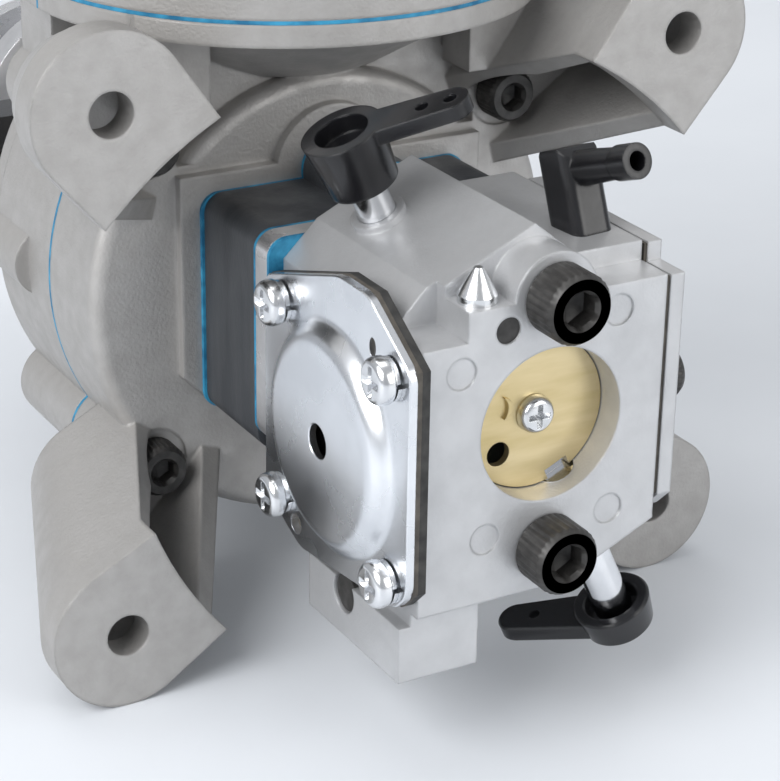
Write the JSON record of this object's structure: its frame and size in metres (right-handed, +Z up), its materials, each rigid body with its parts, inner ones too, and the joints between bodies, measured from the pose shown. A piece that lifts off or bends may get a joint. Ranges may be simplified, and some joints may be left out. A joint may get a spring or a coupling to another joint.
{
  "type": "model aircraft gasoline engine",
  "caption": "Single-cylinder two-stroke petrol engine with finned cylinder, firewall legs, rear reed intake, diaphragm carburettor and propeller hub.",
  "frame": {"origin": "centre of the four firewall holes, in the plane of the pad faces, on the crank axis", "axes": "+Y along the crank axis toward the propeller, +Z up along the cylinder, +X to the right seen from the carburettor"},
  "size_m": [0.0974, 0.1728, 0.1767],
  "materials": {
    "cast_aluminium": "blasted casting",
    "machined_aluminium": "machined",
    "carburettor_casting": "bright casting",
    "gasket_blue": "coated paper gasket",
    "gasket_black": "matte rubber",
    "gasket_brown": "matte fabric rubber",
    "insulator_black": "filled plastic",
    "plastic_black": "glossy",
    "black_steel": "blackened",
    "zinc_steel": "zinc plated",
    "polished_steel": "polished",
    "ground_steel": "ground",
    "brass": "brushed",
    "ceramic_white": "glazed ceramic"
  },
  "bodies": {
    "engine": {"rear_housing": "cast_aluminium", "crankcase": "cast_aluminium", "crankcase_gasket": "gasket_blue", "case_bolts": "black_steel", "cylinder_gasket": "gasket_blue", "cylinder": "cast_aluminium", "cylinder_bolts": "black_steel", "spark_plug_shell": "zinc_steel", "spark_plug_insulator": "ceramic_white", "front_housing": "cast_aluminium", "front_gasket": "gasket_blue", "front_housing_bolts": "black_steel", "bearing_outer_races": "ground_steel", "bearing_balls": "polished_steel", "shaft_seal": "gasket_black", "reed_cage": "machined_aluminium", "reed_petals": "ground_steel", "intake_gasket": "gasket_blue", "insulator": "insulator_black", "insulator_gasket": "gasket_blue", "spacer_plate": "machined_aluminium", "carb_gasket": "gasket_blue", "carb_body": "carburettor_casting", "carb_screws": "black_steel", "ball_plug": "black_steel", "top_stud": "zinc_steel", "metering_gasket": "gasket_black", "metering_diaphragm": "gasket_brown", "metering_cover": "zinc_steel", "cover_screws": "zinc_steel", "spring_washers": "zinc_steel", "pump_gasket": "gasket_black", "pump_diaphragm": "gasket_brown", "pump_cover": "carburettor_casting", "pump_screw": "black_steel", "fuel_elbow": "plastic_black", "ignition_sensor": "plastic_black", "sensor_screws": "black_steel"},
    "crank": {"crankshaft": "ground_steel", "bearing_inner_races": "ground_steel", "prop_driver": "machined_aluminium", "prop_washer": "machined_aluminium", "prop_nut": "zinc_steel"},
    "piston": {"piston": "machined_aluminium", "piston_rings": "ground_steel", "wrist_pin": "polished_steel"},
    "rod": {"connecting_rod": "ground_steel", "crankpin": "polished_steel"},
    "throttle": {"throttle_shaft": "polished_steel", "throttle_plate": "brass", "throttle_plate_screw": "zinc_steel", "throttle_lever": "plastic_black"},
    "choke": {"choke_shaft": "polished_steel", "choke_plate": "brass", "choke_plate_screw": "zinc_steel", "choke_lever": "plastic_black"},
    "needle": {"mixture_needle": "black_steel"}
  },
  "joints": [
    {"name": "crank_turn", "type": "hinge", "parent": "engine", "child": "crank", "pos_m": [0, 0.06, 0], "axis": [0, 1, 0], "continuous": true},
    {"name": "piston_slide", "type": "slide", "parent": "engine", "child": "piston", "axis": [0, 0, 1], "range_m": [0, 0.0328]},
    {"name": "rod_swing", "type": "hinge", "parent": "piston", "child": "rod", "pos_m": [0, 0.0355, 0.044], "axis": [0, 1, 0], "range_deg": [-9, 9]},
    {"name": "throttle_turn", "type": "hinge", "parent": "engine", "child": "throttle", "pos_m": [0, -0.007, 0], "axis": [-0.4226, 0, 0.9063], "range_deg": [0, 75]},
    {"name": "choke_turn", "type": "hinge", "parent": "engine", "child": "choke", "pos_m": [0, -0.0272, 0], "axis": [0.4226, 0, -0.9063], "range_deg": [0, 75]},
    {"name": "needle_turn", "type": "hinge", "parent": "engine", "child": "needle", "pos_m": [-0.0186, -0.0173, -0.024], "axis": [-1, 0, 0], "range_deg": [-180, 180]}
  ]
}
